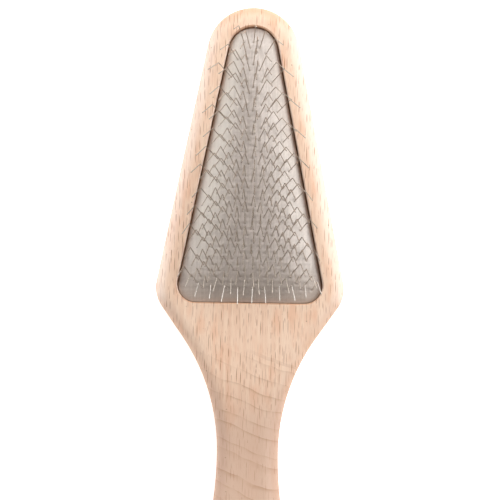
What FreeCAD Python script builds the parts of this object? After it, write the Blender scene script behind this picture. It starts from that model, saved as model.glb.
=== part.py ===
"""Slicker brush: a one-piece beech handle whose head holds a cushion set with bent wire pins.

The brush lies on its back. +Z is up, along the pins, and +Y runs towards the tip of the head.
The origin is on the back face, halfway along the brush and on its centre line.
"""

import FreeCAD, Part

import math
import os
import random

import Sketcher
from FreeCAD import Placement, Rotation, Vector

# Driving dimensions in millimetres and degrees.
# "From tip" is measured along the brush from the tip of the head.
DIMENSIONS = {
    # Outline of the handle, seen from above
    "brush_length": 240.0,
    "tip_radius": 16.7,
    "flank_angle": 11.25,
    "corner_radius": 11.5,
    "shoulder_angle": 35.2,
    "neck_radius": 71.6,
    "neck_half_width": 10.9,
    "neck_from_tip": 160.0,
    "grip_radius": 130.0,
    "grip_half_width": 14.5,
    "end_radius": 12.0,
    # Thickness of the handle, seen from the side
    "head_thickness": 14.0,
    "saddle_from_tip": 118.0,
    "saddle_radius": 276.0,
    "crown_from_tip": 205.0,
    "crown_radius": 212.0,
    "edge_radius": 5.5,
    # Recess for the cushion
    "rim_width": 7.5,
    "recess_end_from_tip": 106.7,
    "recess_corner_radius": 6.5,
    "recess_depth": 8.0,
    "recess_chamfer": 0.4,
    # Cushion
    "side_gap": 0.8,
    "end_gap": 0.2,
    "adhesive_thickness": 0.3,
    "cushion_edge_height": 12.0,
    "cushion_rise": 5.0,
    "face_thickness": 1.0,
    "backing_thickness": 1.2,
    # Shape of the cushion's crown: how far along its crest lies, and how it falls away from it
    "crest_along": 0.45,
    "tip_roundness": 2.0,
    "end_roundness": 8.0,
    "side_roundness": 1.7,
    "rise_in_narrow_part": 0.5,
    # Wire staples
    "wire_diameter": 0.32,
    "wire_channel_gap": 0.05,
    "bend_radius": 0.6,
    "crown_width": 3.5,
    "lower_leg": 8.0,
    "upper_leg": 7.0,
    "wire_lean": 24.0,
    "knee_angle": 60.0,
    "leg_splay": 3.0,
    "lean_scatter": 2.0,
    "row_spacing": 2.1,
    "row_step": 2.2,
    "staple_pitch": 8.8,
    "first_row_from_tip": 13.5,
    "first_row_shift": 5.4,
    "row_count": 43.0,
    "wire_inset": 2.6,
}

SCATTER_SEED = 7
DOME_ROWS = 25
DOME_COLUMNS = 13
DOME_MARGIN = 0.04


def make_sheet(doc):
    """Put each driving dimension in a cell of its own, with its name beside it."""
    sheet = doc.addObject("Spreadsheet::Sheet", "Sizes")
    for row, (name, value) in enumerate(DIMENSIONS.items(), start=1):
        sheet.set(f"A{row}", name)
        sheet.set(f"B{row}", str(value))
        sheet.setAlias(f"B{row}", name)
    doc.recompute()
    return sheet


# ---------------------------------------------------------------- sketch helpers

START, END, CENTRE = 1, 2, 3
Y_AXIS = -2
ORIGIN = (-1, 1)


def new_sketch(body, plane_role, name, height=None):
    """Attach a sketch to one of the body's origin planes, raised by the expression height."""
    plane = next(item for item in body.Origin.OriginFeatures if item.Role == plane_role)
    sketch = body.newObject("Sketcher::SketchObject", name)
    sketch.AttachmentSupport = [(plane, "")]
    sketch.MapMode = "FlatFace"
    if height is not None:
        sketch.setExpression("AttachmentOffset.Base.z", height)
    return sketch


def arc(centre, radius, first, last):
    circle = Part.Circle(Vector(centre[0], centre[1], 0), Vector(0, 0, 1), radius)
    return Part.ArcOfCircle(circle, first, last)


def line(start, end):
    return Part.LineSegment(Vector(start[0], start[1], 0), Vector(end[0], end[1], 0))


def rule(sketch, *terms):
    """Add a constraint with no size of its own."""
    return sketch.addConstraint(Sketcher.Constraint(*terms))


def sized_rule(sketch, expression, *terms):
    """Add a constraint whose value follows an expression of the sheet's cells."""
    index = rule(sketch, *terms)
    sketch.setExpression(f"Constraints[{index}]", expression)


def polar(centre, radius, angle):
    return (centre[0] + radius * math.cos(angle), centre[1] + radius * math.sin(angle))


# ---------------------------------------------------------------- handle

def handle_outline_sketch(body, sheet):
    """Right half of the handle's outline, from the tip of the head to the rounded end of the grip."""
    flank = math.radians(sheet.flank_angle)
    shoulder = math.radians(sheet.shoulder_angle)
    half_length = sheet.brush_length / 2
    neck_y = half_length - sheet.neck_from_tip

    tip_centre = (0, half_length - sheet.tip_radius)
    tip_end = polar(tip_centre, sheet.tip_radius, flank)
    neck_centre = (sheet.neck_half_width + sheet.neck_radius, neck_y)
    shoulder_end = polar(neck_centre, sheet.neck_radius, math.pi - shoulder)

    # The corner's centre lies one radius inside both the flank and the shoulder line.
    a1, b1 = math.cos(flank), math.sin(flank)
    a2, b2 = math.cos(shoulder), -math.sin(shoulder)
    c1 = a1 * tip_end[0] + b1 * tip_end[1] - sheet.corner_radius
    c2 = a2 * shoulder_end[0] + b2 * shoulder_end[1] - sheet.corner_radius
    determinant = a1 * b2 - a2 * b1
    corner_centre = ((c1 * b2 - c2 * b1) / determinant, (a1 * c2 - a2 * c1) / determinant)
    corner_top = polar(corner_centre, sheet.corner_radius, flank)
    corner_bottom = polar(corner_centre, sheet.corner_radius, -shoulder)

    # The rounded end touches the grip's arc from inside, and the flare joins the neck to the grip.
    end_centre = (0, sheet.end_radius - half_length)
    reach = math.sqrt(
        (sheet.grip_radius - sheet.end_radius) ** 2 - (sheet.grip_radius - sheet.grip_half_width) ** 2
    )
    grip_centre = (sheet.grip_half_width - sheet.grip_radius, end_centre[1] + reach)
    end_angle = math.atan2(end_centre[1] - grip_centre[1], end_centre[0] - grip_centre[0])
    flare_drop = neck_y - grip_centre[1]
    flare_angle = 2 * math.atan((sheet.grip_half_width - sheet.neck_half_width) / flare_drop)
    flare_radius = flare_drop / math.sin(flare_angle) - sheet.grip_radius
    flare_centre = (sheet.neck_half_width + flare_radius, neck_y)

    sketch = new_sketch(body, "XY_Plane", "HandleOutline")
    tip, side, corner, slope, neck, flare, grip, end, middle = sketch.addGeometry([
        arc(tip_centre, sheet.tip_radius, flank, math.pi / 2),
        line(corner_top, tip_end),
        arc(corner_centre, sheet.corner_radius, -shoulder, flank),
        line(shoulder_end, corner_bottom),
        arc(neck_centre, sheet.neck_radius, math.pi - shoulder, math.pi),
        arc(flare_centre, flare_radius, math.pi, math.pi + flare_angle),
        arc(grip_centre, sheet.grip_radius, end_angle, flare_angle),
        arc(end_centre, sheet.end_radius, -math.pi / 2, end_angle),
        line((0, -half_length), (0, half_length)),
    ])
    joints = [
        (tip, START, side, END), (side, START, corner, END), (corner, START, slope, END),
        (slope, START, neck, START), (neck, END, flare, START), (flare, END, grip, END),
        (grip, START, end, END),
    ]
    for joint in joints:
        rule(sketch, "Tangent", *joint)
    rule(sketch, "Coincident", middle, START, end, START)
    rule(sketch, "Coincident", middle, END, tip, END)
    for geometry, point in [(middle, START), (middle, END), (tip, CENTRE), (end, CENTRE)]:
        rule(sketch, "PointOnObject", geometry, point, Y_AXIS)
    rule(sketch, "Horizontal", neck, CENTRE, neck, END)
    sized_rule(sketch, "Sizes.brush_length / 2", "DistanceY", *ORIGIN, tip, END, half_length)
    sized_rule(sketch, "Sizes.brush_length / 2", "DistanceY", end, START, *ORIGIN, half_length)
    radii = [(tip, "tip_radius"), (corner, "corner_radius"), (neck, "neck_radius"),
             (grip, "grip_radius"), (end, "end_radius")]
    for geometry, name in radii:
        sized_rule(sketch, f"Sizes.{name}", "Radius", geometry, getattr(sheet, name))
    sized_rule(sketch, "90 deg + Sizes.flank_angle * 1 deg", "Angle", side, math.pi / 2 + flank)
    sized_rule(sketch, "90 deg - Sizes.shoulder_angle * 1 deg", "Angle", slope, math.pi / 2 - shoulder)
    sized_rule(sketch, "Sizes.neck_from_tip", "DistanceY", neck, END, tip, END, sheet.neck_from_tip)
    sized_rule(sketch, "Sizes.neck_half_width", "DistanceX", *ORIGIN, neck, END, sheet.neck_half_width)
    sized_rule(sketch, "Sizes.grip_radius - Sizes.grip_half_width", "DistanceX", grip, CENTRE, *ORIGIN,
               sheet.grip_radius - sheet.grip_half_width)
    return sketch


def top_sketch(body, sheet):
    """What is cut off the blank: all above the head, the neck's shallow saddle and the grip's swell."""
    clearance = 5.0
    half_length = sheet.brush_length / 2
    start = (half_length - sheet.saddle_from_tip, sheet.head_thickness)
    low_y = half_length - sheet.neck_from_tip
    crown_y = half_length - sheet.crown_from_tip
    finish_y = -half_length - clearance
    ceiling = sheet.head_thickness + 2 * sheet.edge_radius

    turn = math.asin((start[0] - low_y) / (2 * sheet.saddle_radius))
    low = (low_y, start[1] - 2 * sheet.saddle_radius * (1 - math.cos(turn)))
    rise = math.asin((low_y - crown_y) / (2 * sheet.crown_radius))
    crown_centre = (crown_y, low[1] + sheet.crown_radius * (1 - 2 * math.cos(rise)))
    finish_angle = math.acos((finish_y - crown_y) / sheet.crown_radius)
    finish = polar(crown_centre, sheet.crown_radius, finish_angle)

    sketch = new_sketch(body, "YZ_Plane", "TopCut")
    up, down = math.pi / 2, -math.pi / 2
    front_y = half_length + clearance
    shoulder, dip, lift, swell, back, top, front, flat = sketch.addGeometry([
        arc((start[0], start[1] - sheet.saddle_radius), sheet.saddle_radius, up, up + turn),
        arc((low[0], low[1] + sheet.saddle_radius), sheet.saddle_radius, down, down + turn),
        arc((low[0], low[1] + sheet.crown_radius), sheet.crown_radius, down - rise, down),
        arc(crown_centre, sheet.crown_radius, up - rise, finish_angle),
        line(finish, (finish_y, ceiling)),
        line((finish_y, ceiling), (front_y, ceiling)),
        line((front_y, ceiling), (front_y, start[1])),
        line((front_y, start[1]), start),
    ])
    rule(sketch, "Tangent", shoulder, END, dip, END)
    rule(sketch, "Tangent", dip, START, lift, END)
    rule(sketch, "Tangent", lift, START, swell, START)
    corners = [(swell, END, back, START), (back, END, top, START), (top, END, front, START),
               (front, END, flat, START), (flat, END, shoulder, START)]
    for corner in corners:
        rule(sketch, "Coincident", *corner)
    rule(sketch, "Vertical", back)
    rule(sketch, "Horizontal", top)
    rule(sketch, "Vertical", front)
    rule(sketch, "Horizontal", flat)
    rule(sketch, "Vertical", shoulder, CENTRE, shoulder, START)
    rule(sketch, "Vertical", dip, CENTRE, dip, START)
    for geometry, name in [(shoulder, "saddle_radius"), (dip, "saddle_radius"),
                           (lift, "crown_radius"), (swell, "crown_radius")]:
        sized_rule(sketch, f"Sizes.{name}", "Radius", geometry, getattr(sheet, name))
    sized_rule(sketch, "Sizes.brush_length / 2 - Sizes.saddle_from_tip", "DistanceX",
               *ORIGIN, shoulder, START, start[0])
    sized_rule(sketch, "Sizes.head_thickness", "DistanceY", *ORIGIN, shoulder, START, start[1])
    sized_rule(sketch, "Sizes.neck_from_tip - Sizes.brush_length / 2", "DistanceX",
               dip, START, *ORIGIN, -low_y)
    sized_rule(sketch, "Sizes.crown_from_tip - Sizes.brush_length / 2", "DistanceX",
               swell, CENTRE, *ORIGIN, -crown_y)
    overhang = f"Sizes.brush_length / 2 + {clearance}"
    sized_rule(sketch, overhang, "DistanceX", back, END, *ORIGIN, -finish_y)
    sized_rule(sketch, overhang, "DistanceX", *ORIGIN, front, START, front_y)
    sized_rule(sketch, "Sizes.head_thickness + 2 * Sizes.edge_radius", "DistanceY",
               *ORIGIN, back, END, ceiling)
    return sketch


def cushion_outline_sketch(body, sheet, name, height, side_gap, end_gap):
    """Outline of the recess, or of a layer that stands in from its wall by side_gap and end_gap.

    Both gaps are expressions of the sheet's cells, and so is the height of the sketch.
    """
    side = sheet.side_gap if "side_gap" in side_gap else 0.0
    end = sheet.end_gap if "end_gap" in end_gap else 0.0
    flank = math.radians(sheet.flank_angle)
    half_length = sheet.brush_length / 2
    top_centre = (0, half_length - sheet.tip_radius)
    top_radius = sheet.tip_radius - sheet.rim_width - side
    corner_radius = sheet.recess_corner_radius - side
    bottom_y = half_length - sheet.recess_end_from_tip + end

    right_top = polar(top_centre, top_radius, flank)
    corner_y = bottom_y + corner_radius
    drop = top_centre[1] - corner_y
    corner_x = (top_radius - corner_radius) / math.cos(flank) + drop * math.tan(flank)
    right_corner = (corner_x, corner_y)
    right_bottom = polar(right_corner, corner_radius, flank)

    def mirrored(point):
        return (-point[0], point[1])

    sketch = new_sketch(body, "XY_Plane", name, height)
    top, right, left, right_bend, left_bend, bottom = sketch.addGeometry([
        arc(top_centre, top_radius, flank, math.pi - flank),
        line(right_bottom, right_top),
        line(mirrored(right_bottom), mirrored(right_top)),
        arc(right_corner, corner_radius, -math.pi / 2, flank),
        arc(mirrored(right_corner), corner_radius, math.pi - flank, 3 * math.pi / 2),
        line((-corner_x, bottom_y), (corner_x, bottom_y)),
    ])
    joints = [
        (top, START, right, END), (top, END, left, END),
        (right, START, right_bend, END), (left, START, left_bend, START),
        (right_bend, START, bottom, END), (left_bend, END, bottom, START),
    ]
    for joint in joints:
        rule(sketch, "Tangent", *joint)
    rule(sketch, "PointOnObject", top, CENTRE, Y_AXIS)
    rule(sketch, "Horizontal", bottom)
    sized_rule(sketch, "90 deg + Sizes.flank_angle * 1 deg", "Angle", right, math.pi / 2 + flank)
    sized_rule(sketch, "90 deg - Sizes.flank_angle * 1 deg", "Angle", left, math.pi / 2 - flank)
    sized_rule(sketch, "Sizes.brush_length / 2 - Sizes.tip_radius", "DistanceY",
               *ORIGIN, top, CENTRE, top_centre[1])
    sized_rule(sketch, f"Sizes.tip_radius - Sizes.rim_width - {side_gap}", "Radius", top, top_radius)
    for bend in (right_bend, left_bend):
        sized_rule(sketch, f"Sizes.recess_corner_radius - {side_gap}", "Radius", bend, corner_radius)
    sized_rule(sketch, f"Sizes.brush_length / 2 - Sizes.recess_end_from_tip + {end_gap}",
               "DistanceY", *ORIGIN, bottom, START, bottom_y)
    return sketch


def outline_edges(shape, keep):
    """Names of the outline's edges that keep accepts, without the joints that run straight across."""
    names = []
    for index, edge in enumerate(shape.Edges, start=1):
        is_upright = abs(edge.tangentAt(edge.FirstParameter).z) > 0.9
        runs_across = edge.BoundBox.YLength < 1e-4
        if not is_upright and not runs_across and keep(edge.BoundBox):
            names.append(f"Edge{index}")
    return names


def cut_away(doc, body, name, sketch, settings):
    """Add a Pocket and check that it has removed material."""
    before = body.Tip.Shape.Volume
    cut = body.newObject("PartDesign::Pocket", name)
    cut.Profile = sketch
    for key, value in settings.items():
        setattr(cut, key, value)
    doc.recompute()
    if cut.Shape.Volume > before - 1.0:
        raise RuntimeError(f"{name} cuts nothing")
    return cut


def round_over(doc, body, kind, name, size_name, edges):
    """Add a Fillet or a Chamfer of the named size to the edges of the body's last feature."""
    base = body.Tip
    feature = body.newObject(kind, name)
    feature.Base = (base, edges)
    feature.setExpression("Radius" if kind == "PartDesign::Fillet" else "Size", f"Sizes.{size_name}")
    doc.recompute()
    return feature


def make_handle(doc, sheet):
    """The beech piece: outline, saddle over the neck, rounded edges and the recess for the cushion."""
    body = doc.addObject("PartDesign::Body", "HandleBody")
    body.Label = "beech_handle"

    half = body.newObject("PartDesign::Pad", "HalfHandle")
    half.Profile = handle_outline_sketch(body, sheet)
    half.setExpression("Length", "Sizes.head_thickness + Sizes.edge_radius")
    doc.recompute()

    whole = body.newObject("PartDesign::Mirrored", "WholeHandle")
    whole.Originals = [half]
    plane = next(item for item in body.Origin.OriginFeatures if item.Role == "YZ_Plane")
    whole.MirrorPlane = (plane, [""])
    body.Tip = whole
    doc.recompute()

    top = top_sketch(body, sheet)
    cut_away(doc, body, "FlatTop", top, {"Type": "ThroughAll", "SideType": "Symmetric"})
    middle = sheet.head_thickness / 2
    edges = outline_edges(body.Tip.Shape, lambda box: box.ZMin > middle or box.ZMax < middle)
    round_over(doc, body, "PartDesign::Fillet", "RoundedEdges", "edge_radius", edges)

    recess = cushion_outline_sketch(body, sheet, "RecessOutline",
                                    "Sizes.head_thickness - Sizes.recess_depth", "0", "0")
    cut_away(doc, body, "Recess", recess, {"Type": "ThroughAll", "Reversed": True})
    rim_outline = recess.Shape.translated(Vector(0, 0, sheet.recess_depth))
    names = [f"Edge{index}" for index, edge in enumerate(body.Tip.Shape.Edges, start=1)
             if edge.BoundBox.ZMin > sheet.head_thickness - 1e-4 and edge.distToShape(rim_outline)[0] < 1e-4]
    round_over(doc, body, "PartDesign::Chamfer", "RecessRim", "recess_chamfer", names)
    return body


# ---------------------------------------------------------------- cushion

class Dome:
    """The cushion's crowned top: its height above the back of the brush, and the cushion's half width."""

    def __init__(self, sheet):
        self.sheet = sheet
        self.flank = math.radians(sheet.flank_angle)
        self.top_radius = sheet.tip_radius - sheet.rim_width - sheet.side_gap
        self.centre_y = sheet.brush_length / 2 - sheet.tip_radius
        self.start_y = self.centre_y + self.top_radius
        self.end_y = sheet.brush_length / 2 - sheet.recess_end_from_tip + sheet.end_gap

    def half_width(self, y):
        drop = self.centre_y - y
        return (self.top_radius + drop * math.sin(self.flank)) / math.cos(self.flank)

    def height(self, x, y):
        sheet = self.sheet
        crest = sheet.crest_along
        along = (self.start_y - y) / (self.start_y - self.end_y)
        across = abs(x) / self.half_width(y)
        if along < crest:
            swell = 1 - ((crest - along) / crest) ** sheet.tip_roundness
        else:
            swell = 1 - ((along - crest) / (1 - crest)) ** sheet.end_roundness
        narrowness = self.half_width(self.end_y) / self.half_width(y)
        rise = sheet.cushion_rise * narrowness ** sheet.rise_in_narrow_part
        return sheet.cushion_edge_height + rise * swell * (1 - across ** sheet.side_roundness)

    def slopes(self, x, y):
        """How steeply the top rises towards +X and towards +Y."""
        step = 1e-3
        return (
            (self.height(x + step, y) - self.height(x - step, y)) / (2 * step),
            (self.height(x, y + step) - self.height(x, y - step)) / (2 * step),
        )

    def face(self, drop):
        """The dome lowered by drop, as one smooth face that runs a little past the cushion all round."""
        grid = []
        for row in range(DOME_ROWS):
            along = -DOME_MARGIN + (1 + 2 * DOME_MARGIN) * row / (DOME_ROWS - 1)
            y = self.start_y + (self.end_y - self.start_y) * along
            points = []
            for column in range(DOME_COLUMNS):
                across = (1 + DOME_MARGIN) * (2 * column / (DOME_COLUMNS - 1) - 1)
                x = across * self.half_width(y)
                points.append(Vector(x, y, self.height(x, y) - drop))
            grid.append(points)
        surface = Part.BSplineSurface()
        surface.interpolate(grid)
        return surface.toShape()


def make_adhesive(doc, sheet):
    """The thin sheet that holds the foam on the floor of the recess."""
    body = doc.addObject("PartDesign::Body", "AdhesiveBody")
    body.Label = "adhesive_sheet"
    pad = body.newObject("PartDesign::Pad", "AdhesivePad")
    pad.Profile = cushion_outline_sketch(body, sheet, "AdhesiveOutline",
                                         "Sizes.head_thickness - Sizes.recess_depth",
                                         "Sizes.side_gap", "Sizes.end_gap")
    pad.setExpression("Length", "Sizes.adhesive_thickness")
    return body


def make_layer(doc, sheet, dome, label, drop, thickness, channels):
    """One layer of the cushion: the part of its upright blank between two levels of the dome.

    drop is how far its top lies under the cushion's top.
    thickness is an expression of the sheet's cells.
    """
    stem = "".join(word.capitalize() for word in label.split("_"))
    blank = doc.addObject("PartDesign::Body", stem + "Blank")
    pad = blank.newObject("PartDesign::Pad", stem + "Pad")
    pad.Profile = cushion_outline_sketch(
        blank, sheet, stem + "Outline",
        "Sizes.head_thickness - Sizes.recess_depth + Sizes.adhesive_thickness",
        "Sizes.side_gap", "Sizes.end_gap",
    )
    pad.setExpression("Length", "Sizes.head_thickness + Sizes.cushion_rise")

    top = doc.addObject("Part::Feature", stem + "Top")
    top.Shape = dome.face(drop)

    slab = doc.addObject("Part::Extrusion", stem + "Slab")
    slab.Base = top
    slab.DirMode = "Custom"
    slab.Dir = Vector(0, 0, -1)
    slab.Solid = False
    slab.setExpression("LengthFwd", thickness)

    solid = doc.addObject("Part::Common", stem + "Solid")
    solid.Base = blank
    solid.Tool = slab

    layer = doc.addObject("Part::Cut", stem)
    layer.Base = solid
    layer.Tool = channels
    layer.Refine = False
    layer.Label = label
    return layer


# ---------------------------------------------------------------- wire staples

def bent_wire(points, bend_radius, wire_radius):
    """A round wire along straight runs between points, with an arc of bend_radius at each inner point."""
    edges = []
    run_start = points[0]
    for before, corner, after in zip(points, points[1:], points[2:]):
        to_before = (before - corner).normalize()
        to_after = (after - corner).normalize()
        half_turn = (math.pi - to_before.getAngle(to_after)) / 2
        setback = bend_radius * math.tan(half_turn)
        inward = (to_before + to_after).normalize()
        first = corner + to_before * setback
        last = corner + to_after * setback
        middle = corner + inward * (bend_radius / math.cos(half_turn) - bend_radius)
        edges.append(Part.LineSegment(run_start, first).toShape())
        edges.append(Part.Arc(first, middle, last).toShape())
        run_start = last
    edges.append(Part.LineSegment(run_start, points[-1]).toShape())
    path = Part.Wire(edges)
    along = (points[1] - points[0]).normalize()
    section = Part.Wire([Part.Circle(points[0], along, wire_radius).toShape()])
    solid = path.makePipeShell([section], True, True)
    expected = math.pi * wire_radius**2 * path.Length
    if abs(solid.Volume / expected - 1) > 0.01:
        raise RuntimeError("a wire has the wrong volume")
    return solid


class Leg:
    """One kneed leg: where it comes out of the cushion, and which way it runs below and above its knee.

    Every leg stands at the same angle to the cloth, so the crown of the cushion fans the wires out.
    """

    def __init__(self, sheet, dome, x, y, splay, scatter):
        lean = math.radians(sheet.wire_lean + scatter.uniform(-1, 1) * sheet.lean_scatter)
        knee = math.radians(sheet.knee_angle + scatter.uniform(-1, 1) * sheet.lean_scatter)
        sideways = math.radians(splay + scatter.uniform(-1, 1) * sheet.lean_scatter)
        rise_x, rise_y = dome.slopes(x, y)
        normal = Vector(-rise_x, -rise_y, 1).normalize()
        forward = Vector(0, 1, rise_y)
        forward = (forward - normal * normal.dot(forward)).normalize()
        across = forward.cross(normal)

        def run(angle):
            upright = normal * math.cos(angle) + forward * math.sin(angle)
            return upright * math.cos(sideways) + across * math.sin(sideways)

        self.depth = sheet.face_thickness + sheet.backing_thickness
        self.dome = dome
        self.base = Vector(x, y, dome.height(x, y))
        self.lower = run(lean)
        self.upper = run(lean - knee)
        self.knee = self.base + self.lower * sheet.lower_leg
        self.tip = self.knee + self.upper * sheet.upper_leg

    def crown_end(self):
        """Where the leg meets the underside of the backing."""
        point = self.base
        for _ in range(8):
            level = self.dome.height(point.x, point.y) - self.depth
            point = point - self.lower * ((point.z - level) / self.lower.z)
        return point


def staple_rows(sheet, dome):
    """Rows of staples, each a pair of legs. Each row is stepped sideways from the one before it."""
    scatter = random.Random(SCATTER_SEED)
    rows = []
    for index in range(int(sheet.row_count)):
        y = sheet.brush_length / 2 - sheet.first_row_from_tip - sheet.row_spacing * index
        limit = dome.half_width(y) - sheet.wire_inset
        shift = (sheet.first_row_shift + sheet.row_step * index) % sheet.staple_pitch
        reach = math.ceil(limit / sheet.staple_pitch) + 1
        row = []
        for step in range(-reach, reach):
            left = shift + sheet.staple_pitch * step
            right = left + sheet.crown_width
            if left >= -limit and right <= limit:
                row.append((
                    Leg(sheet, dome, left, y, -sheet.leg_splay, scatter),
                    Leg(sheet, dome, right, y, sheet.leg_splay, scatter),
                ))
        rows.append(row)
    return rows


def staple_solid(sheet, left, right):
    points = [left.tip, left.knee, left.crown_end(), right.crown_end(), right.knee, right.tip]
    return bent_wire(points, sheet.bend_radius, sheet.wire_diameter / 2)


def channel_solid(sheet, left, right):
    """The room a staple takes up inside the cushion: its crown and the lower part of its legs."""
    above = sheet.lower_leg / 2
    points = [left.base + left.lower * above, left.crown_end(),
              right.crown_end(), right.base + right.lower * above]
    return bent_wire(points, sheet.bend_radius, sheet.wire_diameter / 2 + sheet.wire_channel_gap)


def make_staples(doc, sheet, rows):
    """One object for each row that holds any staples, each staple a solid of its own."""
    made = []
    for row in rows:
        if not row:
            continue
        number = len(made) + 1
        item = doc.addObject("Part::Feature", f"StapleRow{number:02d}")
        item.Label = f"staple_row_{number:02d}"
        item.Shape = Part.makeCompound([staple_solid(sheet, left, right) for left, right in row])
        item.Placement = Placement(Vector(0, 0, 0), Rotation())
        made.append(item)
    return made


def make_channels(doc, sheet, rows):
    channels = doc.addObject("Part::Feature", "WireChannels")
    solids = [channel_solid(sheet, left, right) for row in rows for left, right in row]
    channels.Shape = Part.makeCompound(solids)
    return channels


# ---------------------------------------------------------------- the whole brush

def check(doc, pieces):
    """Stop if any object failed, or if any piece isn't made of valid solids."""
    for item in doc.Objects:
        if "Invalid" in item.State or "Error" in item.State:
            raise RuntimeError(f"{item.Name} failed: {item.State}")
    for piece in pieces:
        shape = piece.Shape
        if shape.isNull() or not shape.isValid() or not shape.Solids:
            raise RuntimeError(f"{piece.Label} has a bad shape")
        print(f"{piece.Label}: {len(shape.Solids)} solid(s), {shape.Volume:.1f} mm3")


def main():
    doc = FreeCAD.newDocument("SlickerBrush")
    sheet = make_sheet(doc)
    dome = Dome(sheet)
    rows = staple_rows(sheet, dome)
    channels = make_channels(doc, sheet, rows)

    pieces = [
        make_handle(doc, sheet),
        make_adhesive(doc, sheet),
        make_layer(doc, sheet, dome, "foam_core", sheet.face_thickness + sheet.backing_thickness,
                   "Sizes.head_thickness + Sizes.cushion_rise", channels),
        make_layer(doc, sheet, dome, "backing_cloth", sheet.face_thickness,
                   "Sizes.backing_thickness", channels),
        make_layer(doc, sheet, dome, "rubber_face", 0.0, "Sizes.face_thickness", channels),
    ]
    pieces += make_staples(doc, sheet, rows)
    doc.recompute()
    check(doc, pieces)

    os.makedirs("parts", exist_ok=True)
    for piece in pieces:
        piece.Shape.exportStep(f"parts/{piece.Label}.step")


main()
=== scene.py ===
"""A beech slicker brush lying on its back, seen from above.

The handle, the adhesive and the wire staples are the CAD pieces with detailed materials. The three soft
layers of the cushion are made here, in the place of their plain CAD solids: a woven rubber face with a
dimple round each wire, a felted backing cloth and an open-cell foam core.
"""

import math

import bmesh
import bpy
import numpy as np
from mathutils import Matrix, Vector, noise
from mathutils.bvhtree import BVHTree
from mathutils.geometry import delaunay_2d_cdt


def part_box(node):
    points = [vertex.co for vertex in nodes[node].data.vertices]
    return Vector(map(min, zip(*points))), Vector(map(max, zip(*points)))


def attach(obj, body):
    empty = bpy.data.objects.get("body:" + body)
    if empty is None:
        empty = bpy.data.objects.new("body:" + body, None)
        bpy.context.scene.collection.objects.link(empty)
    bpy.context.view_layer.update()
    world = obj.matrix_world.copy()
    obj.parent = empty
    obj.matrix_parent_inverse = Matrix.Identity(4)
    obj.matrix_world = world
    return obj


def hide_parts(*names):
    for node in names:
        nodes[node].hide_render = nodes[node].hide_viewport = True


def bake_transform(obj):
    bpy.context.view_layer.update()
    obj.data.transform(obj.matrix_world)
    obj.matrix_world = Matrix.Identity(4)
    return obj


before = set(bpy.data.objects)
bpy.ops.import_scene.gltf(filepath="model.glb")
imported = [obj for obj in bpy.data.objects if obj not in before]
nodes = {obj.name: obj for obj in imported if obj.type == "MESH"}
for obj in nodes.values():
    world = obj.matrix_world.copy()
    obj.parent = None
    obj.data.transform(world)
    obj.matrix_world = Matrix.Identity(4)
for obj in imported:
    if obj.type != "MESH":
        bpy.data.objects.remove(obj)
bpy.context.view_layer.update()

MM = 0.001

# The crown of the cushion, as the CAD layers have it.
EDGE_HEIGHT = 12 * MM
CROWN_RISE = 5 * MM
CREST_ALONG = 0.45
TIP_ROUNDNESS = 2.0
END_ROUNDNESS = 8.0
SIDE_ROUNDNESS = 1.7
RISE_IN_NARROW_PART = 0.5
FLANK = math.radians(11.25)
TIP_END_RADIUS = 8.4 * MM
FACE_THICKNESS = 1.0 * MM
BACKING_THICKNESS = 1.2 * MM
SIDE_GAP = 0.8 * MM
END_GAP = 0.2 * MM

# The staple rows: the first one's place and the space between rows, in millimetres.
FIRST_ROW = 106.5
ROW_SPACING = 2.1
FURROW_DEPTH = 0.09 * MM
DIMPLE_REACH = 0.45 * MM
DIMPLE_DEPTH = 0.16 * MM

# How far the face and the backing spread over the gap round the cushion, as shares of it.
FACE_SPREAD = 0.45
BACKING_SPREAD = 0.8

# The camera stands over the middle of the brush and looks a little towards the tip.
CAMERA_HEIGHT = 0.6
CAMERA_AIM = Vector((-0.15, 32.5, 7.0)) * MM
CAMERA_ROLL = math.radians(0.88)
SENSOR = 36.0
LENS = 118.94

LIT_POINT = Vector((0, 40, 10)) * MM
LAMP_DISTANCE = 0.65
LAMP_SIZE = 0.4
FLOOR_HALF = 4.0


# ---------------------------------------------------------------- camera, light and floor

def aimed(position, target, up=Vector((0, 1, 0))):
    """The matrix of a camera or lamp at position that points at target."""
    back = (position - target).normalized()
    right = up.cross(back).normalized()
    rotation = Matrix((right, back.cross(right), back)).transposed()
    return Matrix.Translation(position) @ rotation.to_4x4()


def make_camera():
    data = bpy.data.cameras.new("camera")
    data.sensor_width = SENSOR
    data.lens = LENS
    data.clip_start = 0.01
    camera = bpy.data.objects.new("camera", data)
    up = Vector((-math.sin(CAMERA_ROLL), math.cos(CAMERA_ROLL), 0))
    camera.matrix_world = aimed(Vector((0, 0, CAMERA_HEIGHT)), CAMERA_AIM, up)
    bpy.context.scene.collection.objects.link(camera)
    bpy.context.scene.camera = camera


def soft_box(name, azimuth, elevation, power):
    """A square lamp aimed at the cushion. Azimuth 0 is past the tip, and 90 is on the brush's right."""
    data = bpy.data.lights.new(name, "AREA")
    data.size = LAMP_SIZE
    data.energy = power
    lamp = bpy.data.objects.new(name, data)
    around, above = math.radians(azimuth), math.radians(elevation)
    level = math.cos(above)
    away = Vector((math.sin(around) * level, math.cos(around) * level, math.sin(above)))
    lamp.matrix_world = aimed(LIT_POINT + away * LAMP_DISTANCE, LIT_POINT)
    bpy.context.scene.collection.objects.link(lamp)


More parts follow.
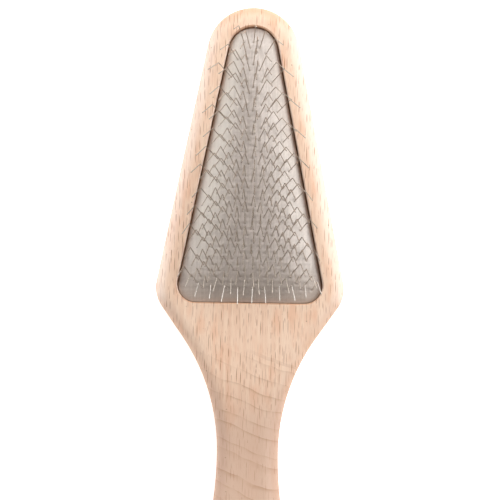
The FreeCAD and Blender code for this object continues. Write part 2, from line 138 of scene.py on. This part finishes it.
def make_lights():
    """Soft boxes: the main one on the right, one low past the tip, and weaker ones on the left."""
    soft_box("right", 90, 38, 3.3)
    soft_box("tip_right", 45, 38, 1.16)
    soft_box("tip_low", 0, 18, 2.3)
    soft_box("tip_left", 315, 38, 0.84)
    soft_box("left_low", 270, 18, 1.35)
    soft_box("left", 270, 38, 0.95)
    world = bpy.data.worlds.new("studio")
    world.use_nodes = True
    background = world.node_tree.nodes["Background"]
    background.inputs["Color"].default_value = (1, 1, 1, 1)
    background.inputs["Strength"].default_value = 0.03
    bpy.context.scene.world = world
    bpy.context.scene.view_settings.view_transform = "Standard"


def make_floor():
    mesh = bpy.data.meshes.new("floor")
    corners = [(FLOOR_HALF * x, FLOOR_HALF * y, 0) for x, y in ((-1, -1), (1, -1), (1, 1), (-1, 1))]
    mesh.from_pydata(corners, [], [(0, 1, 2, 3)])
    floor = bpy.data.objects.new("floor", mesh)
    bpy.context.scene.collection.objects.link(floor)
    surface = Surface("pale_floor")
    surface.finish(Color=(0.92, 0.92, 0.92), Roughness=0.9)
    surface.finish(Emission_Color=(1, 1, 1), Emission_Strength=0.6)
    mesh.materials.append(surface.material)


# ---------------------------------------------------------------- materials

def srgb(red, green, blue):
    """A colour given as 0-255 display values, as the linear values that a shader takes."""
    channels = [c / 255 for c in (red, green, blue)]
    return tuple(c / 12.92 if c <= 0.04045 else ((c + 0.055) / 1.055) ** 2.4 for c in channels)


class Surface:
    """A material, with short calls for the nodes that the patterns here are made of."""

    def __init__(self, name):
        self.material = bpy.data.materials.new(name)
        self.material.use_nodes = True
        self.tree = self.material.node_tree
        self.shader = self.tree.nodes["Principled BSDF"]
        coordinate = self.tree.nodes.new("ShaderNodeTexCoord")
        self.place = self.vector("SCALE", coordinate.outputs["Object"], scale=1 / MM)

    def plug(self, socket, value):
        if isinstance(value, bpy.types.NodeSocket):
            self.tree.links.new(value, socket)
        elif isinstance(value, tuple) and socket.type == "RGBA":
            socket.default_value = (*value, 1)
        else:
            socket.default_value = value

    def number(self, operation, first, second=0.0, third=0.0):
        node = self.tree.nodes.new("ShaderNodeMath")
        node.operation = operation
        for socket, value in zip(node.inputs, (first, second, third)):
            self.plug(socket, value)
        return node.outputs[0]

    def vector(self, operation, first, second=None, scale=None):
        node = self.tree.nodes.new("ShaderNodeVectorMath")
        node.operation = operation
        self.plug(node.inputs[0], first)
        if second is not None:
            self.plug(node.inputs[1], second)
        if scale is not None:
            self.plug(node.inputs["Scale"], scale)
        scalar = operation in ("LENGTH", "DISTANCE", "DOT_PRODUCT")
        return node.outputs["Value" if scalar else "Vector"]

    def parts(self, vector):
        node = self.tree.nodes.new("ShaderNodeSeparateXYZ")
        self.plug(node.inputs[0], vector)
        return node.outputs

    def cells(self, size):
        """The object's place, in millimetres, measured in cells of this size."""
        return self.vector("DIVIDE", self.place, size)

    def noise(self, size, detail=2.0, roughness=0.5, vector=None):
        """Smooth noise from 0 to 1 whose blotches are size millimetres along X, Y and Z."""
        node = self.tree.nodes.new("ShaderNodeTexNoise")
        self.plug(node.inputs["Vector"], self.cells(size) if vector is None else vector)
        self.plug(node.inputs["Scale"], 1.0)
        self.plug(node.inputs["Detail"], detail)
        self.plug(node.inputs["Roughness"], roughness)
        return node.outputs["Fac"]

    def span(self, value, low, high, to_low=0.0, to_high=1.0, smooth=True):
        """value taken from the range low to high on to another range, and held at its ends."""
        node = self.tree.nodes.new("ShaderNodeMapRange")
        node.interpolation_type = "SMOOTHSTEP" if smooth else "LINEAR"
        for socket, given in zip(node.inputs, (value, low, high, to_low, to_high)):
            self.plug(socket, given)
        return node.outputs["Result"]

    def mix(self, share, first, second, how="MIX"):
        node = self.tree.nodes.new("ShaderNodeMix")
        node.data_type = "RGBA"
        node.blend_type = how
        self.plug(node.inputs["Factor"], share)
        self.plug(node.inputs["A"], first)
        self.plug(node.inputs["B"], second)
        return node.outputs["Result"]

    def bump(self, height, depth, before=None):
        """Relief from a height of 0 to 1, depth millimetres deep, on top of the relief before it."""
        node = self.tree.nodes.new("ShaderNodeBump")
        self.plug(node.inputs["Height"], height)
        self.plug(node.inputs["Distance"], depth * MM)
        if before is not None:
            self.plug(node.inputs["Normal"], before)
        return node.outputs["Normal"]

    def finish(self, **settings):
        """Sets the shader's inputs. A name's underscores stand for spaces."""
        for name, value in settings.items():
            name = "Base Color" if name == "Color" else name.replace("_", " ")
            self.plug(self.shader.inputs[name], value)


def dashes(surface, spacing, width, length, share):
    """Short dashes along Y, one in each cell of a scattered pattern: 1 inside a dash and 0 off it."""
    place = surface.cells(spacing)
    scatter = surface.tree.nodes.new("ShaderNodeTexVoronoi")
    surface.plug(scatter.inputs["Vector"], place)
    surface.plug(scatter.inputs["Scale"], 1.0)
    chance = surface.parts(scatter.outputs["Color"])
    offset = surface.vector("SUBTRACT", place, scatter.outputs["Position"])
    lengths = surface.span(chance["Y"], 0, 1, 0.45 * length, length, smooth=False)
    off_x, off_y, _ = surface.parts(offset)
    across = surface.number("DIVIDE", off_x, width / spacing[0])
    along = surface.number("DIVIDE", off_y, surface.number("DIVIDE", lengths, spacing[1]))
    reach = surface.number("ADD", surface.number("POWER", across, 2), surface.number("POWER", along, 2))
    strength = surface.span(chance["X"], 1 - share, 1, 0.25, 1, smooth=False)
    kept = surface.number("GREATER_THAN", chance["X"], 1 - share)
    shape = surface.span(reach, 0.25, 1.0, 1, 0)
    return surface.number("MULTIPLY", shape, surface.number("MULTIPLY", strength, kept))


def beech_by_facing(wood, y, turned, facing, colour):
    """A painted highlight on the head's rounded edges, deeper walls, painted shade on the neck's rounded
    edges and darker end grain.
    """
    sideways = wood.span(turned, 0.12, 0.72)
    # Painted highlight: the head's rounded edges are made paler.
    head_edge_highlight = wood.number("MULTIPLY", sideways, wood.span(y, 0, 16, 0, 0.42))
    colour = wood.mix(head_edge_highlight, colour, srgb(252, 236, 226))
    colour = wood.mix(wood.span(turned, 0.92, 0.985, 0, 0.8), colour, srgb(200, 152, 120))
    # Painted shade: the neck's rounded sides are made darker.
    neck_edge_shade = wood.number("MULTIPLY", sideways, wood.span(y, -24, 2, 0.5, 0))
    colour = wood.mix(neck_edge_shade, colour, srgb(200, 162, 140))
    end_grain = wood.span(wood.number("ABSOLUTE", facing["Y"]), 0.1, 0.75, 0, 0.8)
    return wood.mix(end_grain, colour, srgb(216, 168, 134))


def growth_lines(wood, x, y, colour):
    """Fine lines that cross the neck and the grip on a slant, each at the dark end of a year's growth."""
    sway = wood.noise((30, 34, 60), 3)
    slope = wood.number("MULTIPLY_ADD", x, 0.3, wood.number("MULTIPLY", sway, 9.0))
    level = wood.number("ADD", y, slope)
    uneven = wood.noise((1, 1, 1), 2, 0.5, wood.number("DIVIDE", level, 14.0))
    year = wood.number("ADD", wood.number("DIVIDE", level, 5.5), wood.number("MULTIPLY", uneven, 2.0))
    season = wood.number("FRACT", year)
    patchy = wood.span(wood.noise((7, 5, 20), 2), 0.36, 0.62, 0.12, 1)
    grown = wood.span(y, -22, 2, 1, 0)
    line = wood.number("MULTIPLY", wood.number("POWER", season, 10), wood.number("MULTIPLY", patchy, grown))
    colour = wood.mix(wood.number("MULTIPLY", line, 0.5), colour, srgb(172, 124, 92))
    late = wood.number("MULTIPLY", wood.number("POWER", season, 3), grown)
    return wood.mix(wood.number("MULTIPLY", late, 0.14), colour, srgb(190, 148, 116))


def beech():
    """Pale steamed beech: dark ray flecks along the grain, peach and orange streaks, and growth lines."""
    wood = Surface("beech")
    x, y, _ = wood.parts(wood.place)
    facing = wood.parts(wood.tree.nodes.new("ShaderNodeNewGeometry").outputs["Normal"])
    turned = wood.number("ABSOLUTE", facing["X"])
    to_neck = wood.span(y, -38, -8, 1, 0)
    streaks = wood.noise((1.3, 60, 12), 3)
    broad = wood.noise((8, 70, 30), 2)
    fibres = wood.noise((0.16, 7, 1.5), 3, 0.6)
    blush = wood.noise((4.5, 16, 14), 3)
    colour = wood.mix(wood.span(streaks, 0.35, 0.68), srgb(247, 216, 191), srgb(239, 203, 176))
    colour = wood.mix(wood.span(broad, 0.35, 0.7, 0, 0.5), colour, srgb(251, 225, 202))
    colour = wood.mix(wood.span(blush, 0.48, 0.7, 0, 0.6), colour, srgb(236, 184, 150))
    colour = wood.mix(wood.span(fibres, 0.3, 0.75, 0, 0.3), colour, srgb(212, 170, 140))
    # Painted shade: the wood is darkened towards the neck and the grip.
    colour = wood.mix(wood.number("MULTIPLY", to_neck, 0.85), colour, srgb(211, 178, 156))
    colour = beech_by_facing(wood, y, turned, facing, colour)
    colour = growth_lines(wood, x, y, colour)

    rays = dashes(wood, (1.4, 5.6, 40), 0.15, 3.4, 0.78)
    fine_rays = dashes(wood, (0.75, 4.0, 25), 0.09, 2.0, 0.7)
    fading = wood.span(to_neck, 0, 1, 1, 0.45, smooth=False)
    fading = wood.number("MULTIPLY", fading, wood.span(turned, 0.8, 0.97, 1, 0.25))
    for flecks, strength, tone in ((rays, 0.78, srgb(152, 86, 48)), (fine_rays, 0.45, srgb(182, 116, 74))):
        share = wood.number("MULTIPLY", wood.number("MULTIPLY", flecks, strength), fading)
        colour = wood.mix(share, colour, tone)
    specks = dashes(wood, (7, 9, 30), 0.28, 0.35, 0.35)
    colour = wood.mix(wood.number("MULTIPLY", specks, 0.6), colour, srgb(136, 96, 70))

    relief = wood.bump(fibres, 0.02)
    relief = wood.bump(wood.number("SUBTRACT", 1, rays), 0.012, relief)
    rough = wood.span(streaks, 0.3, 0.7, 0.46, 0.58)
    wood.finish(Color=colour, Roughness=rough, Normal=relief, Specular_IOR_Level=0.35)
    return wood.material


def woven_relief(surface, pitch):
    """Height of a plain weave of this pitch in millimetres: a thread goes over one and under the next."""
    across, along, _ = surface.parts(surface.cells((pitch, pitch, pitch)))

    def thread(own, other, side):
        crest = surface.number("ABSOLUTE", surface.number("SINE", surface.number("MULTIPLY", own, math.pi)))
        turn = surface.number("ADD", surface.number("FLOOR", own), other)
        lift = surface.number("COSINE", surface.number("MULTIPLY", turn, math.pi))
        return surface.number("MULTIPLY", crest, surface.number("MULTIPLY_ADD", lift, 0.5 * side, 0.5))

    return surface.number("MAXIMUM", thread(across, along, 1), thread(along, across, -1))


def painted_cushion_shading(cloth, colour):
    """Painted light and shade on the cloth: a painted highlight along both sides of the cushion, less of it
    right at the left edge, and painted shade at its neck end.
    """
    x, y, _ = cloth.parts(cloth.place)
    top = (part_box("rubber_face")[1].y - TIP_END_RADIUS) / MM
    middle_width = (TIP_END_RADIUS / MM + top * math.sin(FLANK)) / math.cos(FLANK)
    across = cloth.number("DIVIDE", x, cloth.number("MULTIPLY_ADD", y, -math.tan(FLANK), middle_width))
    left, right = cloth.span(across, -0.85, -0.2, 0.6, 0), cloth.span(across, 0.25, 0.85, 0, 0.22)
    # Painted highlight along both sides, weaker in the narrow part and at the very left edge.
    flank_highlight = cloth.number("MULTIPLY", cloth.number("ADD", left, right), cloth.span(y, 14, 50, 0.2, 1))
    flank_highlight = cloth.number("MULTIPLY", flank_highlight, cloth.span(across, -1, -0.88, 0.6, 1))
    colour = cloth.mix(flank_highlight, colour, srgb(230, 223, 212))
    # Painted shade: the cloth is darkened towards the cushion's neck end.
    return cloth.mix(cloth.span(y, 13.5, 30, 0.55, 0), colour, srgb(162, 145, 131))


def rubber_face():
    """Grey-beige rubberised cloth: its weave shows through a thin, slightly shiny skin, with painted shade
    where the weave lies low.
    """
    cloth = Surface("rubberised_cloth")
    weave = woven_relief(cloth, 0.72)
    mottle = cloth.noise((3.5, 5, 5), 3)
    slub = cloth.noise((0.5, 6, 3), 2)
    threads = cloth.noise((0.75, 7, 4), 1)
    creases = cloth.noise((2.6, 0.9, 2.0), 3, 0.6)
    colour = cloth.mix(cloth.span(mottle, 0.35, 0.7), srgb(206, 195, 187), srgb(193, 182, 174))
    # Painted shade where the weave lies low.
    weave_hollow_shade = cloth.number("MULTIPLY", cloth.span(weave, 0.1, 0.9, 1, 0), 0.12)
    colour = cloth.mix(weave_hollow_shade, colour, srgb(172, 159, 149))
    colour = cloth.mix(cloth.span(slub, 0.45, 0.8, 0, 0.35), colour, srgb(228, 217, 207))
    colour = cloth.mix(cloth.span(threads, 0.45, 0.65, 0, 0.36), colour, srgb(168, 155, 145))
    colour = painted_cushion_shading(cloth, colour)
    relief = cloth.bump(weave, 0.018)
    relief = cloth.bump(creases, 0.1, relief)
    cloth.finish(Color=colour, Roughness=0.42, Normal=relief, Specular_IOR_Level=0.5)
    return cloth.material


def backing_cloth():
    """Brown-grey felted cotton, seen edge on in the gap round the cushion, painted paler than its own tone
    as painted light in the shaded gap.
    """
    felt = Surface("felted_cloth")
    fuzz = felt.noise((0.25, 0.25, 0.12), 4, 0.7)
    plies = felt.noise((6, 6, 0.3), 2)
    # Painted light: paler tones than the felt's own lift the shade of the deep gap.
    colour = felt.mix(felt.span(fuzz, 0.3, 0.7), srgb(206, 174, 142), srgb(236, 206, 174))
    colour = felt.mix(felt.span(plies, 0.4, 0.65, 0, 0.4), colour, srgb(178, 146, 114))
    felt.finish(Color=colour, Roughness=0.95, Normal=felt.bump(fuzz, 0.15), Sheen_Weight=0.3)
    return felt.material


def foam():
    """Charcoal open-cell foam, with painted shade inside its pores."""
    sponge = Surface("open_cell_foam")
    pores = sponge.tree.nodes.new("ShaderNodeTexVoronoi")
    sponge.plug(pores.inputs["Vector"], sponge.cells((0.7, 0.7, 0.7)))
    sponge.plug(pores.inputs["Scale"], 1.0)
    wall = sponge.span(pores.outputs["Distance"], 0.15, 0.55)
    # Painted shade darkens the inside of each pore.
    colour = sponge.mix(wall, srgb(48, 42, 38), srgb(104, 94, 84))
    sponge.finish(Color=colour, Roughness=0.9, Normal=sponge.bump(wall, 0.35))
    return sponge.material


def adhesive():
    """A thin amber film of contact glue."""
    glue = Surface("contact_glue")
    strings = glue.noise((2.5, 1.2, 1), 4, 0.6)
    colour = glue.mix(glue.span(strings, 0.3, 0.7), srgb(150, 112, 66), srgb(190, 152, 100))
    rough = glue.span(strings, 0.3, 0.7, 0.25, 0.5)
    glue.finish(Color=colour, Roughness=rough, Normal=glue.bump(strings, 0.08))
    return glue.material


def steel_wire(name, dark, light, patch):
    """Drawn steel wire: fine draw marks and a few darker patches."""
    steel = Surface(name)
    marks = steel.noise((0.06, 0.06, 0.5), 3, 0.65)
    patches = steel.noise((2.5, 2.5, 2.5), 2)
    colour = steel.mix(steel.span(marks, 0.3, 0.7), dark, light)
    colour = steel.mix(steel.span(patches, 0.55, 0.8, 0, 0.4), colour, patch)
    rough = steel.span(marks, 0.3, 0.7, 0.22, 0.34)
    steel.finish(Color=colour, Metallic=1.0, Roughness=rough, Normal=steel.bump(marks, 0.004))
    return steel.material


# ---------------------------------------------------------------- the soft layers

class Crown:
    """The cushion's crowned top surface."""

    def __init__(self):
        low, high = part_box("rubber_face")
        self.start_y = high.y
        self.end_y = low.y
        self.centre_y = high.y - TIP_END_RADIUS

    def half_width(self, y):
        return (TIP_END_RADIUS + (self.centre_y - y) * math.sin(FLANK)) / math.cos(FLANK)

    def height(self, x, y):
        along = (self.start_y - y) / (self.start_y - self.end_y)
        if along < CREST_ALONG:
            swell = 1 - ((CREST_ALONG - along) / CREST_ALONG) ** TIP_ROUNDNESS
        else:
            swell = 1 - ((along - CREST_ALONG) / (1 - CREST_ALONG)) ** END_ROUNDNESS
        narrowness = self.half_width(self.end_y) / self.half_width(y)
        rise = CROWN_RISE * narrowness ** RISE_IN_NARROW_PART
        across = abs(x) / self.half_width(y)
        return EDGE_HEIGHT + rise * swell * (1 - across ** SIDE_ROUNDNESS)


def mesh_tree(objects):
    """A search tree of the faces of these objects."""
    places, faces = [], []
    for o in objects:
        start = len(places)
        places.extend(v.co.copy() for v in o.data.vertices)
        faces.extend([start + i for i in p.vertices] for p in o.data.polygons)
    return BVHTree.FromPolygons(places, faces)


def cushion_outline(spacing):
    """Evenly spaced points round the rubber face's edge, and the outward direction at each."""
    tree = mesh_tree([nodes["rubber_face"]])
    low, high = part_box("rubber_face")
    middle = Vector((0, (low.y + high.y) / 2, EDGE_HEIGHT - FACE_THICKNESS / 2))
    far = high.y - low.y
    corners = []
    for step in range(1440):
        angle = 2 * math.pi * step / 1440
        out = Vector((math.cos(angle), math.sin(angle), 0))
        hit = tree.ray_cast(middle + out * far, -out)[0]
        corners.append(hit.to_2d())
    corners = np.array(corners)
    lengths = np.linalg.norm(np.roll(corners, -1, 0) - corners, axis=1)
    walked = np.concatenate([[0], np.cumsum(lengths)])
    stops = np.linspace(0, walked[-1], round(walked[-1] / spacing), endpoint=False)
    closed = np.vstack([corners, corners[:1]])
    ring = np.column_stack([np.interp(stops, walked, closed[:, k]) for k in (0, 1)])
    tangent = np.roll(ring, -1, 0) - np.roll(ring, 1, 0)
    outward = np.column_stack([tangent[:, 1], -tangent[:, 0]])
    return ring, outward / np.linalg.norm(outward, axis=1)[:, None]


def filled_outline(ring, outward, spacing):
    """Triangles that fill a convex outline: the corners, the outline's first, and the triangles' indices."""
    low, high = ring.min(0), ring.max(0)
    inner = []
    row_step = spacing * math.sqrt(3) / 2
    for row in range(int((high[1] - low[1]) / row_step)):
        shift = spacing / 2 * (row % 2)
        xs = np.arange(low[0] + shift, high[0], spacing)
        inner.append(np.column_stack([xs, np.full(len(xs), low[1] + row * row_step)]))
    inner = np.vstack(inner)
    inside = np.min([(ring[k] - inner) @ outward[k] for k in range(len(ring))], axis=0)
    inner = inner[inside > 0.6 * spacing]
    points = [Vector(p) for p in np.vstack([ring, inner])]
    loop = list(range(len(ring)))
    places, _, faces, origins, _, _ = delaunay_2d_cdt(points, [], [loop], 1, 1e-9)
    order = {made: given[0] for made, given in enumerate(origins)}
    return points, [[order[i] for i in face] for face in faces]


def layer(name, outline, top, bottom, edge_radius, spacing, wall_step):
    """A closed sheet between two surfaces, with rounded edges. top and bottom give a height for x and y."""
    ring, outward = outline
    count = len(ring)
    built = bmesh.new()

    def cap(height, turned):
        inset = ring - outward * edge_radius
        points, faces = filled_outline(inset, outward, spacing)
        verts = [built.verts.new((p.x, p.y, height(p.x, p.y))) for p in points]
        for face in faces:
            order = reversed(face) if turned else face
            built.faces.new([verts[i] for i in order])
        return verts[:count]

    def hoop(inset, level):
        places = ring - outward * inset
        verts = []
        for x, y in places:
            upper, lower = top(x, y), bottom(x, y)
            verts.append(built.verts.new((x, y, level(upper, lower))))
        return verts

    hoops = [cap(top, False)]
    turns = 4
    for step in range(1, turns + 1):
        angle = math.pi / 2 * step / turns
        inset = edge_radius * (1 - math.sin(angle))
        drop = edge_radius * (1 - math.cos(angle))
        hoops.append(hoop(inset, lambda upper, lower, drop=drop: upper - drop))
    tallest = max(top(x, y) - bottom(x, y) for x, y in ring) - 2 * edge_radius
    walls = max(1, round(tallest / wall_step))
    for step in range(1, walls + 1):
        share = step / walls

        def level(upper, lower, share=share):
            return (upper - edge_radius) * (1 - share) + (lower + edge_radius) * share

        hoops.append(hoop(0, level))
    for step in range(1, turns):
        angle = math.pi / 2 * step / turns
        inset = edge_radius * (1 - math.cos(angle))
        rise = edge_radius * (1 - math.sin(angle))
        hoops.append(hoop(inset, lambda upper, lower, rise=rise: lower + rise))
    hoops.append(cap(bottom, True))
    for above, below in zip(hoops, hoops[1:]):
        for i in range(count):
            j = (i + 1) % count
            built.faces.new([above[j], above[i], below[i], below[j]])
    bmesh.ops.recalc_face_normals(built, faces=built.faces)
    for face in built.faces:
        face.smooth = True
    mesh = bpy.data.meshes.new(name)
    built.to_mesh(mesh)
    built.free()
    piece = bpy.data.objects.new(name, mesh)
    bpy.context.scene.collection.objects.link(piece)
    return piece


def pucker(piece, wires, reach, depth):
    """Draws the sheet down round each wire that passes through it, with a low lip outside the dimple."""
    for vertex in piece.data.vertices:
        gap = wires.find_nearest(vertex.co, 3 * reach)[3]
        if gap is None:
            continue
        share = gap / reach
        vertex.co.z -= depth * (math.exp(-share**2) - 0.35 * math.exp(-((share - 1.7) / 0.6) ** 2))


def widened(outline, share):
    """The outline moved out over a share of the gap between the cushion and the wall of the recess."""
    ring, outward = outline
    towards_neck = np.clip(-outward[:, 1], 0, 1)
    gap = SIDE_GAP + (END_GAP - SIDE_GAP) * towards_neck
    return ring + outward * (gap * share)[:, None], outward


def furrow(piece):
    """Sinks the face a little along each row of staples, so that it rises in low welts between the rows."""
    for vertex in piece.data.vertices:
        place = vertex.co / MM
        turn = 2 * math.pi * (place.y - FIRST_ROW) / ROW_SPACING
        share = 0.6 + 0.8 * noise.noise(place * 0.35)
        vertex.co.z -= FURROW_DEPTH * share * (1 + math.cos(turn)) / 2


def make_cushion():
    crown = Crown()
    staples = [o for name, o in nodes.items() if name.startswith("staple_row")]
    wires = mesh_tree(staples)
    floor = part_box("adhesive_sheet")[1].z
    outline = cushion_outline(0.5 * MM)
    join = FACE_THICKNESS
    base = FACE_THICKNESS + BACKING_THICKNESS

    face = layer("cushion_face", widened(outline, FACE_SPREAD), crown.height,
                 lambda x, y: crown.height(x, y) - join, 0.3 * MM, 0.42 * MM, 0.4 * MM)
    furrow(face)
    pucker(face, wires, DIMPLE_REACH, DIMPLE_DEPTH)
    face.data.materials.append(rubber_face())
    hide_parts("rubber_face")
    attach(face, "cushion")

    backing = layer("cushion_backing", widened(outline, BACKING_SPREAD),
                    lambda x, y: crown.height(x, y) - join, lambda x, y: crown.height(x, y) - base,
                    0.35 * MM, 1.6 * MM, 0.4 * MM)
    backing.data.materials.append(backing_cloth())
    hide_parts("backing_cloth")
    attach(backing, "cushion")

    core = layer("cushion_foam", outline, lambda x, y: crown.height(x, y) - base,
                 lambda x, y: floor, 0.4 * MM, 1.6 * MM, 0.5 * MM)
    core.data.materials.append(foam())
    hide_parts("foam_core")
    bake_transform(core)


def dress(name_start, material):
    """Gives the CAD pieces whose names start this way one material."""
    for name, piece in nodes.items():
        if name.startswith(name_start):
            piece.data.materials.clear()
            piece.data.materials.append(material)


def dress_wires():
    """Dull wire, and paler copies of it for the last two rows: painted highlights where these rows catch the
    light at the neck end.
    """
    dull = steel_wire("drawn_steel", srgb(174, 163, 151), srgb(206, 195, 183), srgb(140, 127, 114))
    dress("staple_row", dull)
    # Painted highlight: a paler copy of the wire for the second last row.
    lit_steel = steel_wire("steel_painted_highlight", srgb(196, 187, 176), srgb(218, 210, 200), srgb(170, 159, 147))
    dress("staple_row_42", lit_steel)
    # Painted highlight: the palest copy of the wire for the last row.
    brightest_lit_steel = steel_wire("steel_painted_strong_highlight", srgb(222, 217, 210), srgb(238, 234, 229), srgb(204, 197, 188))
    dress("staple_row_43", brightest_lit_steel)


make_camera()
make_lights()
make_floor()
dress("beech_handle", beech())
dress("adhesive_sheet", adhesive())
dress_wires()
make_cushion()
